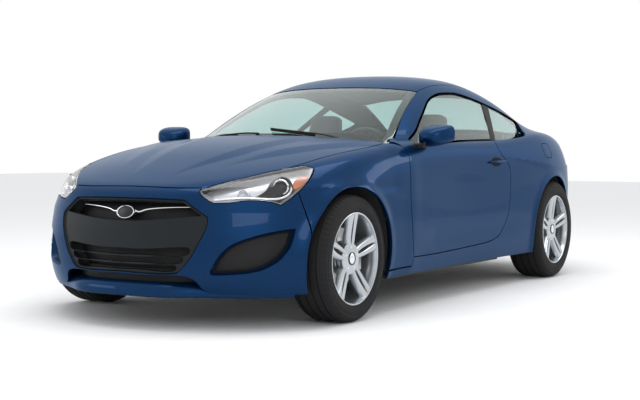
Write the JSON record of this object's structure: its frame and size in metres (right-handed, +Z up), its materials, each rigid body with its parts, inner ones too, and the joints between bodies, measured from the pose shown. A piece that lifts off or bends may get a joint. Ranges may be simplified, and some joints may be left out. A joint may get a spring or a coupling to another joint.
{
  "type": "coupe car",
  "caption": "Blue two-door coupe car with opening doors, bonnet and boot lid, steering front wheels and a furnished cabin.",
  "frame": {"origin": "on the ground under the middle of the car's length and width", "axes": "+X towards the nose, +Y to the car's left, +Z up"},
  "size_m": [4.6249, 2.064, 1.3865],
  "materials": {
    "body_paint": "gloss",
    "window_glass": "gloss",
    "lamp_clear": "gloss",
    "lamp_red": "gloss",
    "black_plastic": "matte",
    "chassis_steel": "satin",
    "engine_alloy": "satin",
    "exhaust_steel": "satin",
    "tyre_rubber": "matte",
    "wheel_alloy": "satin",
    "cabin_plastic": "matte",
    "seat_cloth": "satin"
  },
  "bodies": {
    "body": {"body_side_left": "body_paint", "body_side_right": "body_paint", "console": "cabin_plastic", "cowl": "black_plastic", "dashboard": "cabin_plastic", "door_hinges": "chassis_steel", "engine": "engine_alloy", "exhaust": "exhaust_steel", "fender_left": "body_paint", "fender_right": "body_paint", "floor_pan": "chassis_steel", "fog_panels": "black_plastic", "front_bumper": "body_paint", "front_frame": "chassis_steel", "front_suspension": "chassis_steel", "fuel_tank": "chassis_steel", "grille": "black_plastic", "headlamps": "lamp_clear", "lid_hinges": "chassis_steel", "quarter_glass": "window_glass", "radiator": "engine_alloy", "rear_bumper": "body_paint", "rear_seat": "seat_cloth", "rear_suspension": "chassis_steel", "rear_window": "window_glass", "roof": "body_paint", "seat_left": "seat_cloth", "seat_right": "seat_cloth", "tail_corner_left": "body_paint", "tail_corner_right": "body_paint", "tail_lamps": "lamp_red", "wheel_liners": "black_plastic", "windscreen": "window_glass", "wipers": "black_plastic"},
    "door_left_body": {"door_left": "body_paint", "door_glass_left": "window_glass", "mirror_left": "body_paint"},
    "knuckle_left_body": {"knuckle_left": "chassis_steel"},
    "wheel_front_left_body": {"tyre_front_left": "tyre_rubber", "wheel_front_left": "wheel_alloy"},
    "wheel_rear_left_body": {"tyre_rear_left": "tyre_rubber", "wheel_rear_left": "wheel_alloy"},
    "door_right_body": {"door_right": "body_paint", "door_glass_right": "window_glass", "mirror_right": "body_paint"},
    "knuckle_right_body": {"knuckle_right": "chassis_steel"},
    "wheel_front_right_body": {"tyre_front_right": "tyre_rubber", "wheel_front_right": "wheel_alloy"},
    "wheel_rear_right_body": {"tyre_rear_right": "tyre_rubber", "wheel_rear_right": "wheel_alloy"},
    "hood_body": {"hood": "body_paint"},
    "trunk_lid_body": {"trunk_lid": "body_paint"},
    "steering_wheel_body": {"steering_wheel": "cabin_plastic"}
  },
  "joints": [
    {"name": "door_left_hinge", "type": "hinge", "parent": "body", "child": "door_left_body", "pos_m": [0.83, 0.89361, 0.575], "axis": [0, 0, -1], "range_deg": [0, 65]},
    {"name": "steer_left", "type": "hinge", "parent": "body", "child": "knuckle_left_body", "pos_m": [1.495, 0.745, 0.2], "axis": [0, -0.2351, 0.972], "range_deg": [-33, 33]},
    {"name": "roll_front_left", "type": "hinge", "parent": "knuckle_left_body", "child": "wheel_front_left_body", "pos_m": [1.495, 0.801, 0.33], "axis": [0, 1, 0], "continuous": true},
    {"name": "roll_rear_left", "type": "hinge", "parent": "body", "child": "wheel_rear_left_body", "pos_m": [-1.325, 0.807, 0.339], "axis": [0, 1, 0], "continuous": true},
    {"name": "door_right_hinge", "type": "hinge", "parent": "body", "child": "door_right_body", "pos_m": [0.83, -0.89361, 0.575], "axis": [0, 0, 1], "range_deg": [0, 65]},
    {"name": "steer_right", "type": "hinge", "parent": "body", "child": "knuckle_right_body", "pos_m": [1.495, -0.745, 0.2], "axis": [0, 0.2351, 0.972], "range_deg": [-33, 33]},
    {"name": "roll_front_right", "type": "hinge", "parent": "knuckle_right_body", "child": "wheel_front_right_body", "pos_m": [1.495, -0.801, 0.33], "axis": [0, 1, 0], "continuous": true},
    {"name": "roll_rear_right", "type": "hinge", "parent": "body", "child": "wheel_rear_right_body", "pos_m": [-1.325, -0.807, 0.339], "axis": [0, 1, 0], "continuous": true},
    {"name": "hood_hinge", "type": "hinge", "parent": "body", "child": "hood_body", "pos_m": [0.975, 0, 0.936], "axis": [0, -1, 0], "range_deg": [0, 50]},
    {"name": "trunk_lid_hinge", "type": "hinge", "parent": "body", "child": "trunk_lid_body", "pos_m": [-1.724, 0, 1.015], "axis": [0, 1, 0], "range_deg": [0, 75]},
    {"name": "steering_column", "type": "hinge", "parent": "body", "child": "steering_wheel_body", "pos_m": [0.43, 0.4, 0.85], "axis": [-0.9135, 0, 0.4067], "range_deg": [-448.8, 448.8]}
  ],
  "couplings": [
    {"joint": "steer_right", "follows": "steer_left", "ratio": 1},
    {"joint": "steering_column", "follows": "steer_left", "ratio": 13.6}
  ]
}
